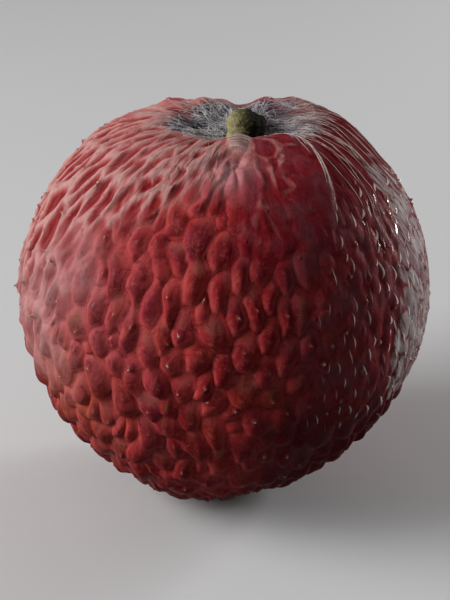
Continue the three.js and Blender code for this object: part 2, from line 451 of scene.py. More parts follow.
def spot(directions, polar, azimuth, width):
    """1 at a place given in degrees, falling to 0 round it over a width in mm."""
    away = np.linalg.norm(directions - at_degrees(polar, azimuth), axis=1) * BODY_RADIUS
    return bell(away, width * MM)


def away_from_line(directions, start, end):
    """Distance over the rind from each direction to the line between two places, in degrees."""
    first, last = at_degrees(*start), at_degrees(*end)
    share = np.clip((directions - first) @ (last - first) / ((last - first) @ (last - first)), 0, 1)
    nearest = first + share[:, None] * (last - first)
    return np.linalg.norm(directions - nearest, axis=1) * BODY_RADIUS


def away_from_lines(directions, lines):
    """Distance over the rind from each direction to the nearest of some lines of places."""
    runs = [ends for line in lines for ends in zip(line, line[1:])]
    return np.min([away_from_line(directions, *ends) for ends in runs], axis=0)


# Lines on the rind, each given by the polar angle and azimuth of its points, in degrees.
# Thin ribs over the front, below the neck.
RIBS = (
    ((31, -83), (42, -84), (54, -81)),
    ((30, -93), (48, -89)),
    ((30, -101), (44, -106)),
)
# Pale veins beside the neck, with a loop that joins the first of them, and over the smooth patch.
VEINS = (
    ((14, -94), (19, -89), (26, -85.5), (32, -83), (39, -83), (46.5, -87), (51.5, -85)),
    ((17.5, -90.5), (18.6, -81), (19.8, -72.5), (22.6, -69.5), (25, -73.5), (25.6, -80),
     (23.2, -87)),
    ((26.5, -79), (31.5, -78), (37.5, -76), (40, -71)),
    ((31.5, -78), (32.5, -72), (36, -70), (38.5, -74)),
    ((25, -70), (28.5, -73), (32.5, -72)),
    ((21, -71), (21.5, -64), (23, -57)),
    ((42.5, -83), (47.5, -79), (51, -78)),
    ((42, -81), (39.5, -77), (44.5, -75)),
)
# The pale rim of the smooth patch, from the neck to the crest.
RIM = ((14.5, -92), (14.5, -77), (15.5, -62), (17, -51), (20.5, -48), (24, -47), (30.5, -49),
       (38, -52))
# The dusty patch below the neck.
BELOW_NECK = ((27, -97), (33, -102))

# Round spots on the rind: polar angle and azimuth in degrees, width in mm.
SPOTS = {
    "hollow": (16.5, 176, 1.3),
    "salmon": (16.5, 146, 1.1),
    "rosy": (80, -132, 7),
    "warm": (104, -140, 6),
    "dusty": (100, -150, 9),
}
BULGE_BELOW_NECK = (34.5, -96, 1.7)

# Heights and widths of the relief.
BORDER_WIDTH = 0.26 * MM
SHINGLE_HEIGHT = 0.3 * MM
SHINGLE_EDGE = 0.2 * MM
DOWN_REACH = 1.5 * MM
BULGE_HEIGHT = 0.34 * MM
RIB_HEIGHT, RIB_WIDTH = 0.16 * MM, 0.24 * MM
HOLLOW_DEPTH = 0.5 * MM
VEIN_HEIGHT, VEIN_WIDTH, RIM_WIDTH = 0.05 * MM, 0.22 * MM, 0.2 * MM
VEIN_STRAY = 0.34 * MM
PIMPLE_WIDTH, PIMPLE_SPREAD = 0.15, 0.03
MOAT_RADIUS, MOAT_WIDTH = 0.36 * MM, 0.14 * MM


def tubercle_height(grid, place, polar, azimuth, down):
    """Height of the plain tubercles, depth of their valleys, and each point's rise from one."""
    top = TUBERCLE_HEIGHT * (1 + HEIGHT_SPREAD * scatter(grid.tubercle, 3))
    depth = VALLEY_DEPTH * (0.75 + 0.6 * noise(place, 3 * MM, 5))
    rise = 1 - (1 - np.clip(grid.inside / FULL_INSIDE, 0, 1)) ** 1.8
    grain = 0.09 * noise(place, 1.6 * MM, 6) + 0.05 * noise(place, 0.7 * MM, 8)
    grain += 0.05 * ray_noise(polar, azimuth, 15.0, 4.5, 3)
    shingled = grade(25, 100, polar) * np.clip(grid.inside / SHINGLE_EDGE, 0, 1)
    height = -depth + (top + depth) * rise + MM * grain + SHINGLE_HEIGHT * down * shingled
    return height, depth, rise


def pimples(grid, zones, polar, azimuth):
    """Height of the pimples on the tubercles, and each point's share in a tip and in the moat."""
    number = grid.tubercle
    away = np.linalg.norm(grid.direction - grid.tops[number], axis=1) * BODY_RADIUS
    few = np.where(polar < radians(95), -0.4, 0.1)
    present = (scatter(number, 8) > few) * (1 - zones["plain"]) * (1 - 0.7 * zones["threads"])
    present *= (0.8 + 0.3 * scatter(number, 9)) * grade(34, 46, polar)
    width = (PIMPLE_WIDTH + PIMPLE_SPREAD * scatter(number, 10)) * MM
    tip = np.exp(-((away / width) ** 3)) * present
    moat = bell(away - MOAT_RADIUS, MOAT_WIDTH) * present
    left = patch(polar, azimuth, *TALL_PIMPLES)
    tall = 0.12 + 0.4 * scatter(number, 5) ** 16 + 0.45 * left * scatter(number, 12) ** 2
    return MM * (tip * tall - 0.08 * moat), tip, moat


def rind_height(grid, zones, directions, polar, azimuth):
    """Height over the mean rind, and the facts about each point that the material shows."""
    place = directions * BODY_RADIUS
    down = (angles(grid.direction)[0] - grid.polar[grid.tubercle]) * BODY_RADIUS
    down = np.clip(down / DOWN_REACH, -1, 1)
    pillow, depth, rise = tubercle_height(grid, place, polar, azimuth, down)
    broad, fine = (folds(polar, azimuth, *which) for which in (BROAD_FOLDS, FINE_FOLDS))
    long_folds = folds(polar, azimuth, *LONG_FOLDS)
    border = bell(np.maximum(grid.inside, 0), BORDER_WIDTH)
    ridge = np.maximum(
        border * (0.35 + 0.5 * grid.lengthwise), mix(broad, fine, grade(29, 42, polar))
    )
    netted = (-0.26 + 0.56 * ridge) * MM + 0.06 * MM * rise
    lines = np.clip(1 - np.abs(ray_noise(polar, azimuth, 17.0, 2.2, 6)) * 1.8, 0, 1) ** 2
    streak = np.maximum(0.4 * border * grid.lengthwise, lines)
    streaked = (-0.24 + 0.12 * streak) * MM + 0.15 * (pillow + depth)
    height = mix(0.75, 1.1, grade(40, 80, polar)) * pillow
    height = mix(height, netted, 0.9 * zones["net"])
    height = mix(height, 0.4 * height + (-0.1 + 0.5 * long_folds) * MM, zones["left_limb"])
    height = mix(height, streaked, zones["threads"])
    height = mix(height, 0.26 * MM + 0.22 * pillow, zones["plain"])
    height = grid.smoothed(height, grid.across > 0.99, 2)
    nearest, _ = streak_cells(polar, azimuth, *PEBBLES)
    pebbled = 0.12 * height + 0.18 * MM * (1 - np.clip(nearest / 0.75, 0, 1) ** 2)
    height = mix(height, pebbled, zones["glossy"] * zones["glints"] * (1 - zones["plain"]))

    raised, tip, moat = pimples(grid, zones, polar, azimuth)
    rib = bell(away_from_lines(directions, RIBS), RIB_WIDTH)
    height += raised + BULGE_HEIGHT * spot(directions, *BULGE_BELOW_NECK) + RIB_HEIGHT * rib
    height *= smoothstep(BARE_FROM_STEM, FULL_FROM_STEM, polar)
    lumps = noise(place, 1.9 * MM, 12)
    lip = stretch(azimuth, -80, 18, 32) * bell(polar - radians(17.5), radians(5.5))
    height += 0.12 * MM * noise(place, 6 * MM, 2) + LIP_HEIGHT * lip
    height += zones["back_rim"] * MM * (0.05 + 0.4 * lumps)
    height -= HOLLOW_DEPTH * spot(directions, *SPOTS["hollow"])
    height += zones["pit"] * MM * (0.12 * lines + 0.14 * noise(place, 1.1 * MM, 7))
    neck = (0.1 + 0.3 * bell(off_neck(polar, azimuth), 0.8 * MM)) * MM + LIP_HEIGHT * lip
    height = mix(height, neck, zones["neck"])

    pale = mix(border, ridge, np.maximum(zones["net"], zones["threads"]))
    pale = np.maximum(mix(pale, long_folds, zones["left_limb"]), rib)
    cell, tint = (scatter(grid.tubercle, salt) * rise for salt in (6, 7))
    return height, {
        "groove": 1 - rise, "down": down * rise, "cell": cell, "tint": tint,
        "tip": tip, "moat": moat, "ridge": pale, "lumps": lumps,
    }


def drift(place, wavelength, seed):
    """A smooth random offset of each point, from -1 to 1 along each axis."""
    return np.stack([noise(place, wavelength, seed + axis) for axis in range(3)], 1)


def dress_rind():
    grid = RindGrid()
    place = grid.direction * BODY_RADIUS
    offset = drift(place, 4.5 * MM, 10) * 0.5 * MM + drift(place, 1.7 * MM, 20) * 0.26 * MM
    wandered = unit(grid.direction + offset / BODY_RADIUS)
    polar, azimuth = angles(wandered)
    zones = rind_zones(polar, azimuth, wandered * BODY_RADIUS)
    height, facts = rind_height(grid, zones, wandered, polar, azimuth)
    strayed = wandered + VEIN_STRAY / BODY_RADIUS * drift(place, 1.1 * MM, 40)
    from_vein = away_from_lines(strayed, VEINS)
    from_rim = away_from_lines(wandered, [RIM])
    height += VEIN_HEIGHT * np.maximum(bell(from_vein, VEIN_WIDTH), bell(from_rim, RIM_WIDTH))

    points = wandered * (rind_radius(polar, azimuth) + height)[:, None]
    points[:, 1] *= DEPTH_SHARE
    points = to_row(points)
    points[:, 2] = np.maximum(points[:, 2], 0)

    facts |= zones
    facts |= {name: spot(wandered, *where) for name, where in SPOTS.items()}
    facts |= {
        "from_vein": from_vein / MM,
        "from_rim": from_rim / MM,
        "near_sheen": grade(-62, -36, azimuth),
        "right_wall": np.maximum(spot(wandered, 19, 8, 4), spot(wandered, 13, 48, 2.4)),
        "ruby": spot(wandered, 25, 152, 1.2) + spot(wandered, 11, 55, 1.6),
        # Pale mauve below the neck: the rind's tint, with a painted highlight on its bulge.
        "mauve_and_highlight": spot(wandered, 34, -96, 1.8) + 0.8 * spot(wandered, 37, -116, 2),
        "below_neck": bell(away_from_line(wandered, *BELOW_NECK), 1.5 * MM),
    }
    fruit = add_mesh("rind", points, grid.triangles, facts)
    x, y, z = (wandered @ np.array(TO_ROW)[:3, :3].T).T
    add_vector(fruit, "rays", np.cos(azimuth), np.sin(azimuth), polar)
    add_vector(fruit, "rows", azimuth - 0.4 * polar, polar, 0 * polar)
    add_vector(fruit, "upright", np.arcsin(x), -np.arctan2(z, -y), 0 * x)
    return fruit


def add_mesh(name, points, faces, facts=None):
    """A smooth mesh object, with a number for each point under each name in facts."""
    mesh = bpy.data.meshes.new(name)
    mesh.from_pydata(np.asarray(points).tolist(), [], [tuple(map(int, face)) for face in faces])
    for fact, values in (facts or {}).items():
        numbers = values.astype(np.float32)
        mesh.attributes.new(fact, "FLOAT", "POINT").data.foreach_set("value", numbers)
    mesh.shade_smooth()
    piece = bpy.data.objects.new(name, mesh)
    SCENE.collection.objects.link(piece)
    return piece


def add_vector(piece, name, *parts):
    """A vector for each point of the piece, for its material."""
    vectors = np.stack(parts, 1).astype(np.float32).ravel()
    layer = piece.data.attributes.new(name, "FLOAT_VECTOR", "POINT")
    layer.data.foreach_set("vector", vectors)


# ---- silky fibres at the stem end

FIBRE_SEED = 11
FIBRE_SIDES = 3
TANGLE_COUNT = 940
# The hollow in the pit, which the tangle leaves free, as x and y in degrees from the stem.
HOLLOW_X, HOLLOW_Y = radians(-16.5), radians(1.2)


def surface_under(piece):
    """A function that gives the piece's surface point and normal at a polar angle and azimuth."""
    corners = [tuple(vertex.co) for vertex in piece.data.vertices]
    tree = BVHTree.FromPolygons(corners, [tuple(face.vertices) for face in piece.data.polygons])

    def find(polar, azimuth):
        outward = TO_ROW.to_3x3() @ Vector(direction(polar, azimuth).tolist())
        hit, normal, _, _ = tree.ray_cast(CENTRE + outward * 2 * BODY_RADIUS, -outward)
        return np.array(hit), np.array(normal)

    return find


def fibre_paths(draw):
    """Each fibre as its polar angles, azimuths, radius and how pink it is."""
    steps = np.linspace(0, 1, 15)

    def wavy(amount):
        bend = draw.normal(0, amount) * steps**1.5
        return bend + draw.normal(0, amount / 4) * np.sin(steps * draw.uniform(6, 12))

    def run(start, end):
        return np.radians(mix(draw.uniform(*start), draw.uniform(*end), steps))

    # A bundle along the rim of the smooth patch and down its crest.
    for _ in range(5):
        bends = [0, 0.25, 0.5, 1]
        polars = np.interp(steps, bends, [8, 13.5, 19, draw.uniform(28, 44)])
        azimuths = np.interp(steps, bends, [-50, -35, -42, -51]) + draw.normal(0, 1.2)
        polars = np.radians(polars + draw.normal(0, 0.6))
        yield polars, np.radians(azimuths) + wavy(0.02), 0.036 * MM, 0.6
    # Long threads over the right shoulder, which swing towards the front as they go down.
    for azimuth in np.arange(-38, 50, 4.4):
        start, azimuth = draw.uniform(11, 18), azimuth + draw.normal(0, 2.2)
        polars = mix(start, draw.uniform(30, 58), steps)
        swing = np.clip(0.1 + 0.013 * (azimuth + 38), 0.1, 0.7)
        azimuths = np.radians(azimuth - swing * (polars - start) + 3 * draw.normal()) + wavy(0.09)
        yield np.radians(polars), azimuths, draw.uniform(0.025, 0.042) * MM, 1
    # Short streaks from the right of the pit over its wall.
    for _ in range(76):
        azimuth, polars = radians(draw.uniform(-52, 54)), run((6, 13), (15, 27))
        azimuths = azimuth + wavy(0.08)
        yield polars, azimuths, draw.uniform(0.016, 0.028) * MM, draw.uniform(0.1, 0.8)
    # Finer ones over the left side, and round the rest of the pit.
    for _ in range(50):
        azimuth, polars = radians(draw.uniform(130, 232)), run((9, 16), (20, 34))
        yield polars, azimuth + wavy(0.12), draw.uniform(0.015, 0.026) * MM, 0.6
    for _ in range(50):
        azimuth = radians(draw.choice([draw.uniform(-30, 70), draw.uniform(165, 240)]))
        polars = run((7, 11), (14, 24))
        yield polars, azimuth + wavy(0.25), draw.uniform(0.016, 0.028) * MM, 0.2
    # A tangle over the floor and walls of the pit.
    for _ in range(TANGLE_COUNT):
        azimuth, polar = radians(draw.uniform(-180, 180)), radians(draw.uniform(5, 23))
        reach = draw.uniform(0.6, 2.0) * MM / BODY_RADIUS / len(steps)
        heading = np.cumsum(draw.normal(0, 0.3, len(steps))) + draw.uniform(0, tau)
        polars = polar + np.cumsum(np.cos(heading)) * reach
        azimuths = azimuth + np.cumsum(np.sin(heading)) * reach / np.sin(np.maximum(polars, 0.1))
        x, y = polars * np.cos(azimuths), polars * np.sin(azimuths)
        from_hollow = np.hypot(x - HOLLOW_X, y - HOLLOW_Y).min()
        on_floor = pit_share(x, y).max() < 1.03 and from_hollow > radians(2.2)
        kept = 0.9 - 4 * x.mean() - 3 * max(y.mean(), 0) * (x.mean() > 0)
        if on_floor and draw.uniform(0, 1) < kept:
            polars = np.clip(polars, radians(4), radians(25))
            yield polars, azimuths, draw.uniform(0.012, 0.024) * MM, 0


def dress_fibres(fruit):
    find = surface_under(fruit)
    draw = np.random.default_rng(FIBRE_SEED)
    points, faces, pinks = [], [], []
    for polars, azimuths, thickness, pink in fibre_paths(draw):
        path, normals = map(np.array, zip(*map(find, polars, azimuths)))
        count = len(path)
        lift = draw.uniform(0.2, 1.5) * thickness + 0.6 * thickness * draw.normal(0, 1, count)
        path = path + normals * np.clip(lift, 0, None)[:, None]
        side = np.cross(np.gradient(path, axis=0), normals)
        side /= np.linalg.norm(side, axis=1, keepdims=True) + 1e-12
        taper = thickness * np.sin(np.linspace(0.06, pi - 0.06, count)) ** 0.4
        first = len(points)
        for turn in range(FIBRE_SIDES):
            angle = tau * turn / FIBRE_SIDES
            around = side * math.cos(angle) + normals * math.sin(angle)
            points.extend(path + around * taper[:, None])
        pinks.extend([pink] * count * FIBRE_SIDES)
        starts = [first + turn * count for turn in range(FIBRE_SIDES)]
        for here, there in zip(starts, starts[1:] + starts[:1]):
            for step in range(count - 1):
                faces.append((here + step, here + step + 1, there + step + 1, there + step))
        faces.append(starts)
        faces.append([start + count - 1 for start in reversed(starts)])
    return add_mesh("silk", points, faces, {"pink": np.array(pinks)})


# ---- materials

# Places of the sockets for colours on a mix node.
MIX_SHARE, MIX_A, MIX_B, MIX_RESULT = 0, 6, 7, 2


class Finish:
    """A procedural material, built node by node. Each method returns a new node's output.

    A value is a number, a socket, a name, (value, low, high, to_high, to_low) for a span, or a
    list of values, which are multiplied. A name stands for a texture kept in named, or else for
    an attribute of the mesh.
    """

    def __init__(self, name):
        self.material = bpy.data.materials.new(name)
        self.material.use_nodes = True
        self.tree = self.material.node_tree
        self.shader = self.tree.nodes["Principled BSDF"]
        self.place = self.node("TexCoord", "Object")
        self.named = {}

    def put(self, socket, value):
        if isinstance(value, bpy.types.NodeSocket):
            self.tree.links.new(value, socket)
        else:
            socket.default_value = value

    def shade(self, inputs):
        """Set inputs of the material's shader."""
        for name, value in inputs.items():
            self.put(self.shader.inputs[name], value)

    def node(self, kind, output=0, inputs=(), **settings):
        node = self.tree.nodes.new("ShaderNode" + kind)
        for name, value in settings.items():
            setattr(node, name, value)
        for name, value in dict(inputs).items():
            self.put(node.inputs[name], value)
        return node.outputs[output]

    def attribute(self, name, output="Fac"):
        return self.node("Attribute", output, attribute_name=name)

    def value(self, given):
        if isinstance(given, str):
            if given not in self.named:
                self.named[given] = self.attribute(given)
            return self.named[given]
        if isinstance(given, tuple):
            return self.span(*given)
        if isinstance(given, list):
            return functools.reduce(lambda a, b: self.math("MULTIPLY", a, b), given)
        return given

    def math(self, operation, *values):
        inputs = dict(enumerate(map(self.value, values)))
        return self.node("Math", 0, inputs, operation=operation)

    def scaled(self, value, by, plus):
        return self.math("MULTIPLY_ADD", value, by, plus)

    def highest(self, *values):
        return functools.reduce(lambda a, b: self.math("MAXIMUM", a, b), values)

    def span(self, value, low, high, to_high=1, to_low=0):
        """value from low to high, as to_low to to_high, and no further."""
        inputs = {"Value": self.value(value), "From Min": low, "From Max": high}
        inputs |= {"To Min": to_low, "To Max": to_high}
        return self.node("MapRange", 0, inputs, interpolation_type="SMOOTHSTEP")

    def paint(self, coat):
        """A colour: three display values from 0 to 255, or a list of a colour and the layers over
        it, each given as its own colour and its share."""
        if isinstance(coat, tuple):
            return linear(*coat)
        under, *layers = coat
        under = self.paint(under)
        for over, share in layers:
            inputs = {MIX_SHARE: self.value(share), MIX_A: under, MIX_B: self.paint(over)}
            under = self.node("Mix", MIX_RESULT, inputs, data_type="RGBA")
        return under

    def noise(self, place, scale, detail=3.0, roughness=0.55, distortion=0.0):
        names = ("Vector", "Scale", "Detail", "Roughness", "Distortion")
        inputs = dict(zip(names, (place, scale, detail, roughness, distortion)))
        return self.node("TexNoise", "Fac", inputs)

    def stretched(self, place, scale):
        return self.node("Mapping", 0, {"Vector": place, "Scale": scale})

    def part(self, vector, axis):
        return self.node("SeparateXYZ", axis, {0: vector})

    def dots(self, place, scale):
        """Small round dots strewn evenly, most of them left out: 1 at the middle of a dot."""
        inputs = {"Vector": place, "Scale": scale}
        cells = self.node("TexVoronoi", 0, inputs).node.outputs
        kept = self.math("GREATER_THAN", self.part(cells["Color"], 0), 0.45)
        return self.value([(cells["Distance"], 0.02, 0.13, 0.0, 1.0), kept])

    def long_cells(self, place, **settings):
        """The outputs of a flat Voronoi texture over a stretched place."""
        inputs = {"Vector": place, "Scale": 1.0, "Randomness": 0.85}
        settings["voronoi_dimensions"] = "2D"
        return self.node("TexVoronoi", 0, inputs, **settings).node.outputs

    def cell_edges(self, place):
        """Long cells for the painted sheen: how near an edge is, and a number for each."""
        edge = self.long_cells(place, feature="DISTANCE_TO_EDGE")["Distance"]
        return edge, self.part(self.long_cells(place)["Color"], 0)

    def strokes(self, place, spread):
        """A painted glint: a thin bent mark on each long cell, pointed at both ends, and wider by
        spread.
        """
        cells = self.long_cells(place)
        offset = {0: place, 1: cells["Position"]}
        offset = self.node("VectorMath", 0, offset, operation="SUBTRACT")
        x, y = (self.part(offset, axis) for axis in (0, 1))
        number, other = (self.part(cells["Color"], axis) for axis in (0, 1))
        arch = [y, y, self.scaled(other, 1.1, -0.1)]
        bent = self.scaled(y, self.scaled(number, 0.5, -0.35), self.math("ADD", arch, x))
        off_line = self.math("ABSOLUTE", self.math("SUBTRACT", bent, 0.24))
        narrowed = self.math("ADD", off_line, [y, y, self.scaled(number, 0.35, 0.2)])
        off_line = self.math("SUBTRACT", narrowed, spread)
        return self.value([(off_line, 0, 0.06, 0, 1), (other, 0.1, 0.4, 1, 0.1)])

    def bumps(self, *bumps):
        """The normal over some bumps, each given as its height, distance in mm and strength."""
        under = {}
        for height, distance, strength in bumps:
            inputs = {"Height": self.value(height), "Strength": self.value(strength)}
            inputs["Distance"] = distance * MM
            under = {"Normal": self.node("Bump", 0, inputs | under)}
        return under["Normal"]


def linear(*display):
    """The linear colour that a shader takes, for display values from 0 to 255."""
    parts = [value / 255 for value in display]
    return [p / 12.92 if p <= 0.04045 else ((p + 0.055) / 1.055) ** 2.4 for p in parts] + [1]


SMOOTH_PATCH = [
    (138, 24, 38),
    ((136, 58, 70), ("middling", 0.4, 0.65)),
    ((104, 14, 26), ("mottled", 0.5, 0.66, 0.6)),
]
NET = [
    (142, 26, 32),
    ((190, 92, 90), ("ridge", 0.08, 0.6)),
    ((218, 172, 166), ("ridge", 0.4, 0.95, 0.85)),
    ((206, 150, 144), ("lines", 0.5, 0.7, 0.35)),
    ((176, 70, 74), ("middling", 0.5, 0.66, 0.35)),
    ((140, 30, 40), ("mottled", 0.55, 0.7, 0.5)),
]
# Painted sheen on the right limb: pale flakes where a light from behind grazes it, with the red rind
# in the gaps.
SHEEN_FLAKES = [
    (206, 196, 192),
    ((172, 138, 140), ("sheen_cell", 0.2, 0.9)),
    ((162, 144, 148), ("slanted", 0.4, 0.58, 0.8)),
    ((112, 34, 42), "gap"),
]
BACK_RIM = [
    (150, 84, 88),
    ((196, 132, 126), ("lumps", -0.3, 0.4)),
    ((186, 160, 160), ("lines", 0.46, 0.6, 0.75)),
    ((128, 30, 44), ("mottled", 0.52, 0.68, 0.6)),
]
ASH = [
    (74, 62, 68),
    ((184, 180, 186), ("lines", 0.44, 0.6)),
    ((206, 204, 212), ("specks", 0.5, 0.62, 0.7)),
    ((104, 34, 46), ["right_wall", ("lines", 0.58, 0.48)]),
    # Painted shade: near black in the hollow of the pit.
    ((18, 18, 26), "hollow"),
]
# Where the pale painted light lies on the slopes of each tubercle.
LIT_SLOPES = [("groove", 0.3, 0.66), ("groove", 1, 0.86, 1, 0.4), ("middling", 0.36, 0.62, 0.62, 0.2)]
RIND = [
    (146, 28, 36),
    ((176, 50, 50), ("broad", 0.35, 0.65)),
    # Tints of parts of the rind, then of each tubercle, then painted light and shade on its upper
    # and lower side.
    ((182, 92, 104), ["dusty", ("middling", 0.42, 0.62, 0.75)]),
    ((200, 100, 66), ["warm", 0.8]),
    ((180, 88, 98), ["rosy", 0.65]),
    ((184, 62, 40), ("cell", 0.2, 0.9, 0.42)),
    ((156, 54, 76), ("tint", 0.2, 0.9, 0.4)),
    ((112, 70, 36), ("tint", -0.6, -0.9, 0.65)),
    # Painted light on each tubercle's upper side, painted shade on its lower side, orange on some in
    # the dusty patch, and a painted shadow along its lower edge.
    ((206, 128, 112), ("down", -0.2, -0.9, 0.4)),
    ([(112, 22, 34), ((206, 78, 50), ["dusty", ("tint", -0.2, 0.2)])], ("down", 0.2, 0.8, 0.55)),
    ((84, 14, 24), ("down", 0.72, 0.98, 0.5)),
    # Darker tops, pale slopes that are painted light, and dark valleys that are painted shade,
    # orange-red in places.
    ((92, 30, 30), ("groove", 0.4, 0, 0.36)),
    ((204, 84, 82), LIT_SLOPES),
    ([(104, 14, 22), ((176, 52, 34), ("broad", 0.42, 0.6))], ("groove", 0.86, 1, 0.4)),
    # Streaks, mottles and specks.
    ((198, 96, 94), ("lines", 0.52, 0.72, 0.35)),
    ((96, 16, 24), ("mottled", 0.5, 0.68, 0.55)),
    ((196, 92, 88), ("mottled", 0.48, 0.3, 0.4)),
    ((206, 120, 112), ("specks", 0.6, 0.74, 0.35)),
    # The front and the right side.
    (SMOOTH_PATCH, ["plain", 0.75]),
    # Pale mauve below the neck, partly a painted highlight on its bulge.
    ((206, 120, 132), ["mauve_and_highlight", 0.55]),
    # Painted shade: darker maroon over the right side and underside.
    ((106, 30, 40), ["glossy", 0.5]),
    ((120, 70, 76), ["glossy", ("middling", 0.42, 0.62, 0.6, 0.1)]),
    # Painted shade, darker still at the lower right.
    ((64, 12, 18), ["shade", 0.5]),
    # The left side with its bloom, partly painted sheen, the threads, painted sheen flakes and
    # painted glints.
    # Pale bloom on the left limb, partly painted sheen where light grazes it, red in its furrows.
    ((208, 158, 156), ["left_limb", ("middling", 0.3, 0.65, 0.85, 0.4)]),
    ((140, 44, 48), ["left_limb", ("ridge", 0.35, 0, 0.5)]),
    (NET, ["net", 0.9]),
    ([(112, 22, 32), ((160, 96, 98), ("ridge", 0.7, 1, 0.25))], ["threads", 0.95]),
    (SHEEN_FLAKES, "sheen_flakes"),
    # Painted glints: pale marks on the tubercles of the right side.
    ((255, 232, 222), ["painted_glint", 0.9]),
    # Pimples, each with a dark ring, a brownish tip and a pale centre that is a painted glint.
    ((104, 18, 24), ["moat", 0.55]),
    ((150, 62, 52), ("tip", 0.1, 0.45, 0.7)),
    ((246, 206, 190), ("tip", 0.55, 0.9, 0.75)),
    # The stem end.
    (BACK_RIM, ["back_rim", 0.8]),
    ((226, 134, 112), ("salmon", 0.2, 0.8, 0.75)),
    ((196, 72, 86), ("ruby", 0.2, 0.8, 0.75)),
    ((226, 168, 168), ["below_neck", ("mottled", 0.4, 0.6, 0.85, 0.4)]),
    ((244, 210, 198), ["neck", 0.95]),
    ((140, 88, 80), ["neck", ("wrinkles", -0.3, -0.95, 0.5)]),
    (ASH, "pit"),
    ((212, 140, 134), "vein"),
    ((228, 206, 194), ["rim", 0.85]),
]
SILK = [
    [(206, 210, 220), ((255, 255, 255), ("patches", 0.3, 0.6))],
    ([(176, 136, 132), ((232, 208, 198), ("patches", 0.35, 0.65))], "pink"),
]
BARK = [
    (54, 46, 30),
    ((112, 102, 58), ("patches", 0.36, 0.62)),
    ((176, 168, 124), ("specks", 0.54, 0.7, 0.6)),
    ((30, 26, 18), ("specks", 0.46, 0.36, 0.6)),
    # Painted light: paler towards the stub's left side.
    ((190, 180, 134), ("side", -0.2 * MM, -1.4 * MM, 0.75)),
    # Painted shade: near black over the stub's right side.
    ((14, 12, 8), ("side", -0.4 * MM, 0.4 * MM, 0.95)),
]
# Spacing of the wrinkles over the neck.
WRINKLE_SPACING = 0.5 * MM


def rind_finish():
    look = Finish("lychee_rind")
    named, place = look.named, look.place
    rays, rows, upright = (look.attribute(name, "Vector") for name in ("rays", "rows", "upright"))
    textures = {
        "broad": (place, 180, 2),
        "middling": (place, 520, 3),
        "fine": (place, 1500, 3),
        "mottled": (place, 1100, 4, 0.7, 0.6),
        "specks": (place, 3200, 2, 0.6),
        "lines": (look.stretched(rays, (26, 26, 5)), 1, 3, 0.6, 0.4),
        "slanted": (look.stretched(rows, (30, 6, 1)), 1, 3, 0.6, 0.5),
    }
    for name, inputs in textures.items():
        named[name] = look.noise(*inputs)

    polar = look.part(rays, 2)
    turns = look.math("MULTIPLY", look.noise(place, 420, 1), 9)
    turns = look.scaled(polar, tau * BODY_RADIUS / WRINKLE_SPACING, turns)
    named["wrinkles"] = look.math("SINE", turns)

    blur = look.scaled(look.noise(place, 1300, 2), 0.2, -0.1)
    from_vein, from_rim = (look.math("ADD", name, blur) for name in ("from_vein", "from_rim"))
    patchy = [("middling", 0.36, 0.6, 1, 0.5), (polar, radians(25), radians(42), 0.4, 0.8)]
    named["vein"] = look.value([(from_vein, 0.04, 0.3, 0, 1), *patchy])
    named["rim"] = look.span(from_rim, 0.05, 0.22, 0, 1)

    # Painted glints over the right side, wider near the painted sheen.
    spread = look.value(["near_sheen", 0.035])
    painted_glint = look.strokes(look.stretched(upright, (10.4, 9.2, 1)), spread)
    where = look.math("SUBTRACT", "glints", "plain")
    named["painted_glint"] = look.value([painted_glint, (where, 0.1, 0.7)])

    # Painted sheen over the right limb, in pale flakes that thin out at its edge.
    edge, named["sheen_cell"] = look.cell_edges(look.stretched(rows, (12, 6, 1)))
    sheen_flakes = look.math("ADD", "silver", look.scaled("sheen_cell", 0.9, -0.45))
    thinned = look.math("ADD", look.scaled("silver", 0.4, -0.4), edge)
    sheen_flakes, thinned, gap = (look.scaled("mottled", 0.3, x) for x in (sheen_flakes, thinned, edge))
    whole = [(thinned, 0.06, 0.22), ("silver", 0.04, 0.25)]
    named["sheen_flakes"] = look.value([(sheen_flakes, 0.45, 0.6, 0.95), *whole])
    gap = [(gap, 0.15, 0.26, 0, 1), ("middling", 0.42, 0.56, 0.9, 0.1)]
    named["gap"] = look.highest(gap, ("slanted", 0.58, 0.64, 0.8))

    dull = look.highest("threads", "pit", "silver")
    shine = look.scaled("painted_glint", 0.9, look.scaled("tip", 0.8, 0.02))
    streaky = look.highest("net", "threads", "pit")
    look.shade({
        "Base Color": look.paint(RIND),
        "Roughness": look.scaled(dull, 0.25, ("fine", 0.3, 0.7, 0.5, 0.36)),
        "Subsurface Weight": 0.08,
        "Subsurface Radius": (1, 0.3, 0.2),
        "Subsurface Scale": 0.8 * MM,
        "IOR": 1.07,
        "Coat Weight": look.value([shine, (dull, 0.3, 0.9, 0.1, 1)]),
        "Coat Roughness": 0.06,
        "Normal": look.bumps(
            ("fine", 0.06, 0.6),
            ("middling", 0.25, 0.35),
            ("lines", 0.25, (streaky, 0, 1, 0.9, 0.25)),
            (look.highest("vein", "rim"), 0.04, 0.7),
            ("mottled", 0.12, 0.5),
            ("painted_glint", 0.1, 1),
            (look.dots(place, 520), 0.08, 0.9),
            ("wrinkles", 0.2, "neck"),
        ),
    })
    return look.material


def silk_finish():
    look = Finish("lychee_silk")
    look.named["patches"] = look.noise(look.place, 900, 2)
    look.shade({"Base Color": look.paint(SILK), "Roughness": 0.7, "IOR": 1.2})
    return look.material


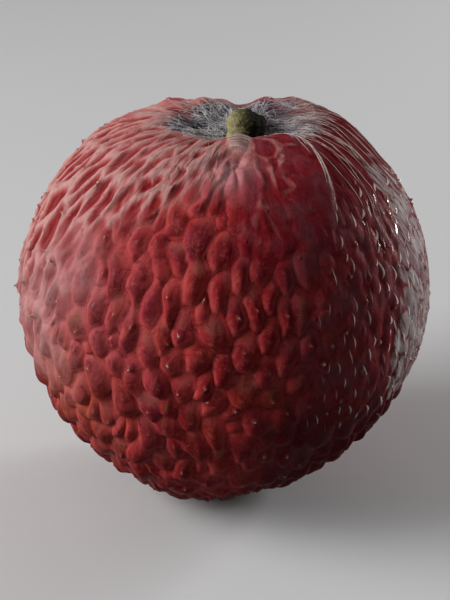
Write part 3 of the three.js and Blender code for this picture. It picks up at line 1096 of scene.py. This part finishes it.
def bark_finish():
    look = Finish("lychee_stem")
    look.named["patches"] = look.noise(look.place, 900, 4, 0.6)
    look.named["specks"] = look.noise(look.place, 4200, 3)
    # Across the stub, from its lit left side to its shaded right side, with an uneven border.
    side = look.math("SUBTRACT", look.part(look.place, 0), (STUB_LOW.x + STUB_HIGH.x) / 2)
    uneven = look.math("SUBTRACT", "patches", 0.5)
    look.named["side"] = look.scaled(uneven, 2.5 * MM, side)
    normal = look.bumps(("specks", 0.2, 0.9))
    look.shade({"Base Color": look.paint(BARK), "Roughness": 0.9, "IOR": 1.2, "Normal": normal})
    return look.material


# ---- the stub of stem

STUB_RADIUS = 0.95 * (STUB_HIGH.x - STUB_LOW.x) / 2
STUB_HEIGHT = 2.95 * MM
STUB_SUNK = 0.3 * MM
# Rings from the foot to the middle of the top, and points round each.
STUB_RINGS, STUB_SIDES = 70, 120
# The outline from the foot to the top: the way along it with the radius, then with the height.
STUB_WIDTHS = (
    [0, 0.1, 0.35, 0.6, 0.74, 0.86, 0.94, 1],
    [0.95, 0.98, 0.92, 0.98, 1.02, 0.9, 0.6, 0],
)
STUB_RISE = ([0, 0.74, 0.86, 0.94, 1], [0, 0.8, 0.94, 0.99, 1])


def dress_stub():
    angle = np.arange(STUB_SIDES) * tau / STUB_SIDES
    up, around = np.meshgrid(np.linspace(0, 1, STUB_RINGS), angle, indexing="ij")
    knob = 1 + up * (0.05 * np.cos(3 * around + 1) + 0.03 * np.cos(5 * around))
    out = STUB_RADIUS * np.interp(up, *STUB_WIDTHS) * knob
    rise = STUB_HEIGHT * np.interp(up, *STUB_RISE)
    points = np.stack([out * np.cos(around), out * np.sin(around), rise], -1).reshape(-1, 3)
    lump = noise(points, 0.9 * MM, 30) * 0.14 * MM + noise(points, 0.35 * MM, 31) * 0.05 * MM
    points += unit(points - (0, 0, 0.45 * STUB_HEIGHT)) * lump[:, None]
    foot = direction(PIT_FROM_STEM, PIT_AZIMUTH) * rind_radius(PIT_FROM_STEM, PIT_AZIMUTH)
    points += foot * (1, DEPTH_SHARE, 1) - (0, 0, STUB_SUNK)
    here = np.arange(STUB_SIDES)
    there = np.roll(here, -1)
    ring = np.stack([here, there, there + STUB_SIDES, here + STUB_SIDES], 1)
    faces = [face for row in range(STUB_RINGS - 1) for face in ring + row * STUB_SIDES]
    return add_mesh("stem", to_row(points), faces)


# ---- floor, lights and camera

TARGET = Vector((CENTRE.x + 0.12 * MM, 0, CENTRE.z - 0.55 * MM))
CAMERA_ELEVATION = radians(25)
CAMERA_DISTANCE = 0.1515
SENSOR_WIDTH, FOCAL_LENGTH = 36, 98
CLIP_START = 0.01
AMBIENT = 0.13
FLOOR_SIZE = 4
# Grey of the floor as it lights the fruit, and as the camera sees it.
FLOOR_GREY, FLOOR_SEEN = 0.1, 0.8
LAMP_DISTANCE = 0.4
# Azimuth and elevation in degrees, width, height and level.
LAMPS = {"key": (-168, 28, 0.24, 0.24, 0.9), "rim": (34, 8, 0.06, 0.22, 0.74)}


def background_share(look):
    """1 for the rays that see the background: straight, in a reflection or through something."""
    kinds = ("Camera", "Glossy", "Transmission")
    rays = [look.node("LightPath", f"Is {kind} Ray") for kind in kinds]
    return look.math("ADD", look.math("ADD", rays[0], rays[1]), rays[2])


def make_floor():
    bpy.ops.mesh.primitive_plane_add(size=FLOOR_SIZE)
    floor = bpy.context.object
    floor.name = "floor"
    look = Finish("floor")
    grey = look.span(background_share(look), 0, 1, FLOOR_SEEN, FLOOR_GREY)
    look.shade({"Base Color": grey, "Roughness": 0.9})
    floor.data.materials.append(look.material)


def make_lamp(name, azimuth, elevation, width, height, level):
    """A soft box facing the fruit. level 1 lights a surface that faces it to its own colour."""
    lamp = bpy.data.lights.new(name, "AREA")
    lamp.shape = "RECTANGLE"
    lamp.size = width
    lamp.size_y = height
    lamp.energy = level * (pi * LAMP_DISTANCE) ** 2
    holder = bpy.data.objects.new(name, lamp)
    away = Vector(at_degrees(90 - elevation, azimuth).tolist())
    holder.location = CENTRE + away * LAMP_DISTANCE
    holder.rotation_euler = away.to_track_quat("Z", "Y").to_euler()
    SCENE.collection.objects.link(holder)


def make_world():
    world = bpy.data.worlds.new("world")
    world.use_nodes = True
    background = world.node_tree.nodes["Background"]
    background.inputs["Color"].default_value = (1, 1, 1, 1)
    background.inputs["Strength"].default_value = AMBIENT
    SCENE.world = world


def make_camera():
    lens = bpy.data.cameras.new("camera")
    lens.sensor_width = SENSOR_WIDTH
    lens.lens = FOCAL_LENGTH
    lens.clip_start = CLIP_START
    camera = bpy.data.objects.new("camera", lens)
    away = Vector((0, -math.cos(CAMERA_ELEVATION), math.sin(CAMERA_ELEVATION)))
    camera.location = TARGET + away * CAMERA_DISTANCE
    camera.rotation_euler = (pi / 2 - CAMERA_ELEVATION, 0, 0)
    SCENE.collection.objects.link(camera)
    SCENE.camera = camera


SCENE.view_settings.view_transform = "Standard"
rind = dress_rind()
rind.data.materials.append(rind_finish())
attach(rind, "root")
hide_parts("fruit")
stub = dress_stub()
stub.data.materials.append(bark_finish())
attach(stub, "root")
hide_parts("stem_stub")
silk = dress_fibres(rind)
silk.data.materials.append(silk_finish())
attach(silk, "root")
make_floor()
make_world()
for lamp_name, settings in LAMPS.items():
    make_lamp(lamp_name, *settings)
make_camera()
